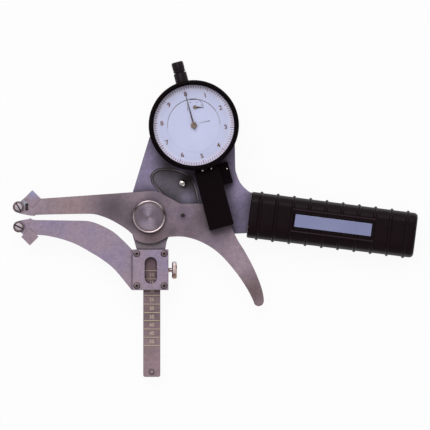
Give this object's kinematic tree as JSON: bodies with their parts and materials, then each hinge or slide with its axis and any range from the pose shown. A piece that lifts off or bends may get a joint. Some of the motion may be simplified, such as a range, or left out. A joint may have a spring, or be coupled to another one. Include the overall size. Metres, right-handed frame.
{
  "type": "inside dial caliper",
  "caption": "Inside dial caliper: a pistol grip, a finger trigger that swings the upper jaw, a sliding lower jaw on a graduated bar, and a dial gauge.",
  "frame": {"origin": "on the lever's pivot axis, at the flat rear face of the pivot nut cover that the caliper lies on", "axes": "+X towards the grip, -Y down the slide bar, +Z out of the dial"},
  "size_m": [0.2472, 0.1928, 0.0317],
  "materials": {
    "satin_steel": "satin, slightly grainy, cool grey",
    "lever_steel": "fine ground, warm grey",
    "jaw_steel": "satin, pale lavender grey",
    "bar_steel": "ground, with engraved lines",
    "tip_steel": "hardened and lapped",
    "spring_steel": "drawn",
    "polished_steel": "turned and polished",
    "black_steel": "black oxide",
    "gauge_black": "black, half gloss",
    "grip_black": "moulded, fine grain",
    "brass": "turned",
    "dial_white": "smooth, printed",
    "hand_black": "thin paint",
    "crystal_clear": "clear, polished",
    "name_plate_blue": "anodised, bare"
  },
  "bodies": {
    "frame": {"frame_plate": "satin_steel", "stop_post": "polished_steel", "slide_bar": "bar_steel", "bar_screw_a": "black_steel", "bar_screw_b": "black_steel", "bar_stop_pin": "polished_steel", "pivot_bolt": "polished_steel", "pivot_bush": "brass", "pivot_washer": "satin_steel", "pivot_nut_cover": "black_steel", "return_spring": "spring_steel", "gauge_case": "gauge_black", "gauge_case_back": "gauge_black", "case_back_screw_a": "black_steel", "case_back_screw_b": "black_steel", "case_back_screw_c": "black_steel", "case_back_screw_d": "black_steel", "gauge_stem": "satin_steel", "gauge_collar": "gauge_black", "gauge_cap": "gauge_black", "movement_rear_plate": "brass", "movement_front_plate": "brass", "hairspring": "spring_steel", "dial_centre": "dial_white", "gauge_holder": "gauge_black", "holder_screw_a": "black_steel", "holder_screw_b": "black_steel", "holder_ear_screw": "black_steel", "grip_front_half": "grip_black", "grip_rear_half": "grip_black", "name_plate": "name_plate_blue", "grip_screw_a": "black_steel", "grip_screw_b": "black_steel", "grip_screw_c": "black_steel"},
    "lever": {"lever_plate": "lever_steel", "upper_contact_tip": "tip_steel", "upper_tip_screw": "polished_steel", "lever_spring_pin": "spring_steel", "spindle_pad": "tip_steel"},
    "slider": {"slider_body": "jaw_steel", "slider_gib": "brass", "lower_jaw": "jaw_steel", "lower_contact_tip": "tip_steel", "lower_tip_screw": "polished_steel", "slider_cover": "jaw_steel", "slider_cover_screw_a": "black_steel", "slider_cover_screw_b": "black_steel", "slider_cover_screw_c": "black_steel", "slider_cover_screw_d": "black_steel"},
    "clamp": {"slider_clamp_screw": "polished_steel"},
    "bezel_ring": {"bezel": "gauge_black", "crystal": "crystal_clear", "dial_ring": "dial_white"},
    "gauge_spindle": {"spindle": "spring_steel", "contact_point": "tip_steel"},
    "rack_arbor": {"rack_pinion_gear": "brass", "small_hand": "hand_black"},
    "centre_arbor": {"centre_pinion": "spring_steel", "main_hand": "hand_black"},
    "hairspring_arbor": {"hairspring_gear": "brass"}
  },
  "joints": [
    {"name": "lever_pivot", "type": "hinge", "parent": "frame", "child": "lever", "pos_m": [0, 0, 0.0123], "axis": [0, 0, 1], "range_deg": [-6, 0.9], "stiffness_Nm_per_rad": 0.6},
    {"name": "slider_slide", "type": "slide", "parent": "frame", "child": "slider", "axis": [0, -1, 0], "range_m": [0, 0.048]},
    {"name": "clamp_screw_turn", "type": "hinge", "parent": "slider", "child": "clamp", "pos_m": [0.0118, -0.0326, 0.01], "axis": [1, 0, 0], "range_deg": [0, 360]},
    {"name": "bezel_turn", "type": "hinge", "parent": "frame", "child": "bezel_ring", "pos_m": [0.0273, 0.0556, 0.0233], "axis": [0, 0, 1], "continuous": true},
    {"name": "spindle_slide", "type": "slide", "parent": "frame", "child": "gauge_spindle", "axis": [-0.2588, 0.9659, 0], "range_m": [-0.0045, 0.0008]},
    {"name": "rack_pinion_turn", "type": "hinge", "parent": "frame", "child": "rack_arbor", "pos_m": [0.02799, 0.06653, 0.0212], "axis": [0, 0, 1], "range_deg": [-25, 160]},
    {"name": "centre_pinion_turn", "type": "hinge", "parent": "frame", "child": "centre_arbor", "pos_m": [0.0273, 0.0556, 0.0212], "axis": [0, 0, 1], "range_deg": [-1600, 240]},
    {"name": "hairspring_gear_turn", "type": "hinge", "parent": "frame", "child": "hairspring_arbor", "pos_m": [0.02635, 0.04469, 0.0212], "axis": [0, 0, 1], "range_deg": [-25, 160]}
  ],
  "couplings": [
    {"joint": "spindle_slide", "follows": "lever_pivot", "m_per_rad": 0.04076},
    {"joint": "rack_pinion_turn", "follows": "lever_pivot", "ratio": -25.61},
    {"joint": "centre_pinion_turn", "follows": "lever_pivot", "ratio": 256.1},
    {"joint": "hairspring_gear_turn", "follows": "lever_pivot", "ratio": -25.61}
  ]
}
